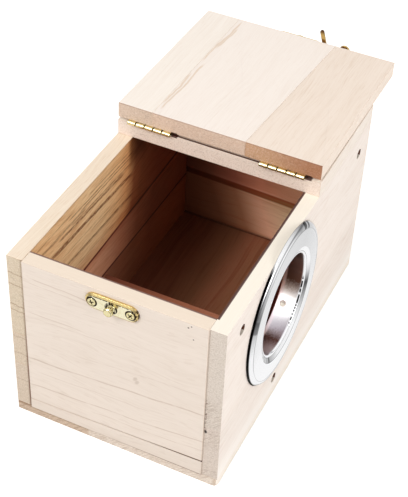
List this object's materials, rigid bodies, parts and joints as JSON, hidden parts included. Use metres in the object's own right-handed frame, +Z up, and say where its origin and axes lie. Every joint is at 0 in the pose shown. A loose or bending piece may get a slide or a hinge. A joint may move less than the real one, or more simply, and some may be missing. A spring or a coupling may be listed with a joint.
{
  "type": "parakeet nest box",
  "caption": "Small wooden nest box with a steel-ringed side entrance, a fixed half roof and a lid that folds back on brass hinges and latches at the end.",
  "frame": {"origin": "centre of the bottom board's underside", "axes": "+X along the box from the latch end to the closed end, -Y out of the wall with the entrance ring, +Z up; the lid is folded back on the fixed roof"},
  "size_m": [0.2413, 0.123, 0.1365],
  "materials": {
    "box_wood": "bare planed pale wood",
    "lid_wood": "bare planed pale wood",
    "divider_wood": "bare sawn wood",
    "ring_steel": "bright pressed steel",
    "brass": "light brass plate"
  },
  "bodies": {
    "box": {"bottom_board": "box_wood", "ring_wall_upper_stave": "box_wood", "ring_wall_lower_stave": "box_wood", "plain_wall_lower_stave": "box_wood", "plain_wall_middle_stave": "box_wood", "plain_wall_upper_stave": "box_wood", "latch_end_upper_stave": "box_wood", "latch_end_lower_stave": "box_wood", "closed_end_panel": "box_wood", "fixed_roof": "box_wood", "nest_divider": "divider_wood", "entrance_ring": "ring_steel", "keeper_plate": "brass", "keeper_stud": "brass", "keeper_plate_screws": "brass", "hinge_plain_side_roof_leaf": "brass", "hinge_plain_side_pin": "brass", "hinge_ring_side_roof_leaf": "brass", "hinge_ring_side_pin": "brass", "hinge_roof_screws": "brass"},
    "lid": {"lid_plain_side_stave": "lid_wood", "lid_middle_stave": "lid_wood", "lid_ring_side_stave": "lid_wood", "hinge_plain_side_lid_leaf": "brass", "hinge_ring_side_lid_leaf": "brass", "hinge_lid_screws": "brass", "latch_plate": "brass", "latch_plate_screws": "brass", "latch_rivet": "brass"},
    "latch_lever": {"latch_lever": "brass"}
  },
  "joints": [
    {"name": "lid_hinge", "type": "hinge", "parent": "box", "child": "lid", "pos_m": [0.0159, 0, 0.12225], "axis": [0, -1, 0], "range_deg": [0, 181.1]},
    {"name": "lever_pivot", "type": "hinge", "parent": "lid", "child": "latch_lever", "pos_m": [0.13199, 0, 0.12543], "axis": [-0.9998, 0, 0.02], "range_deg": [-30, 90]}
  ]
}
